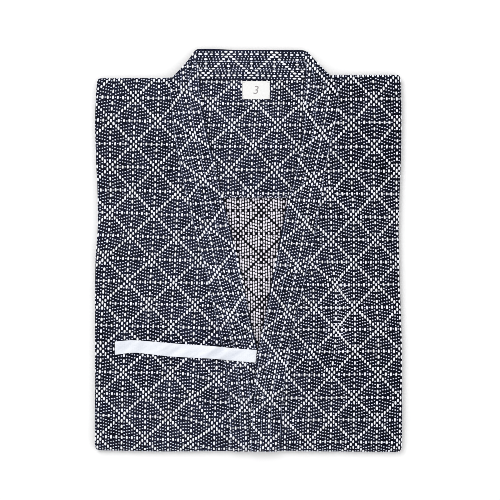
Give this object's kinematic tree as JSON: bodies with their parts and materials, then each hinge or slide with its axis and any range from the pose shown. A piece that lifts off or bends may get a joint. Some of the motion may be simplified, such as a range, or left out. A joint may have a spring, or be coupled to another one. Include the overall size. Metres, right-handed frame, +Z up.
{
  "type": "kendo jacket",
  "caption": "Folded kendo jacket of indigo and white rice-stitch cotton, lying face up with its collar laid flat, its left front lapped over the right and a white chest tie.",
  "frame": {"origin": "middle of the underside, on the surface that the folded jacket lies on", "axes": "+Z up, +Y towards the collar, +X towards the wearer's left"},
  "size_m": [0.5616, 0.7444, 0.0254],
  "materials": {
    "indigo_cloth": "matte rice-stitch cotton, dark indigo ground with raised white floats in a diamond lattice",
    "cloth_reverse": "matte reverse of the rice-stitch, close white bead rows over indigo",
    "white_tape": "matte white cotton tape",
    "label_cloth": "smooth white woven label"
  },
  "bodies": {
    "root": {"folded_layers": "indigo_cloth", "back_panel": "cloth_reverse", "inner_yoke": "indigo_cloth", "front_right": "indigo_cloth", "front_left": "indigo_cloth", "collar_back": "indigo_cloth", "collar_right": "indigo_cloth", "collar_left": "indigo_cloth", "chest_tie": "white_tape", "size_label": "label_cloth"}
  },
  "joints": []
}
